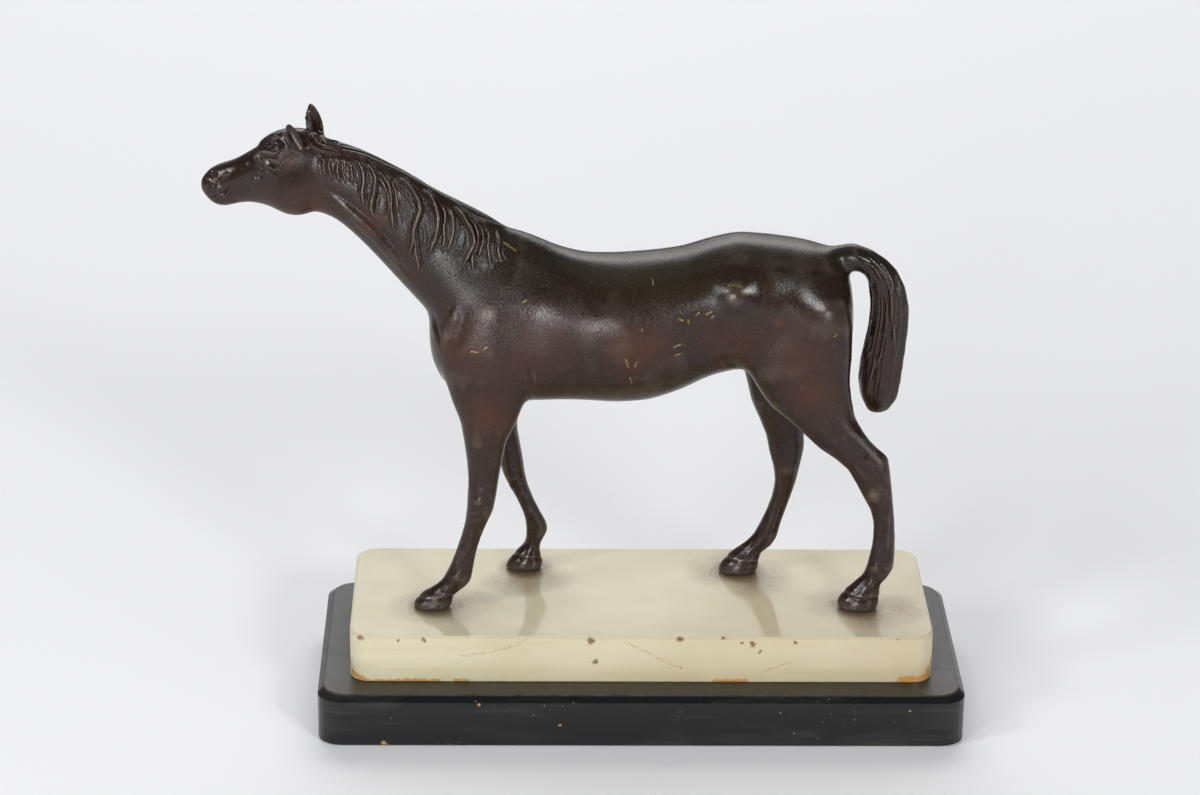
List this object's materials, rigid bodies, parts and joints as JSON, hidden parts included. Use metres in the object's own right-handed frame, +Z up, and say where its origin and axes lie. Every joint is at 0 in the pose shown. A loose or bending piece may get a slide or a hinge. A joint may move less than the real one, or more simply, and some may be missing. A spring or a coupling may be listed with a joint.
{
  "type": "horse statuette",
  "caption": "Small cast bronze horse walking with its neck stretched forward, on a rounded onyx slab over a wider black stone base.",
  "frame": {"origin": "middle of the underside of the black stone base", "axes": "+Z up; the horse looks along -X, so +X points from its head to its tail; +Y points to the horse's right, away from the side that its mane falls on"},
  "size_m": [0.2348, 0.082, 0.1913],
  "materials": {
    "bronze": "satin dark brown patina",
    "onyx": "polished, waxy, pale cream green",
    "black_stone": "polished front, dusty top"
  },
  "bodies": {
    "root": {"horse": "bronze", "onyx_slab": "onyx", "black_base": "black_stone"}
  },
  "joints": []
}
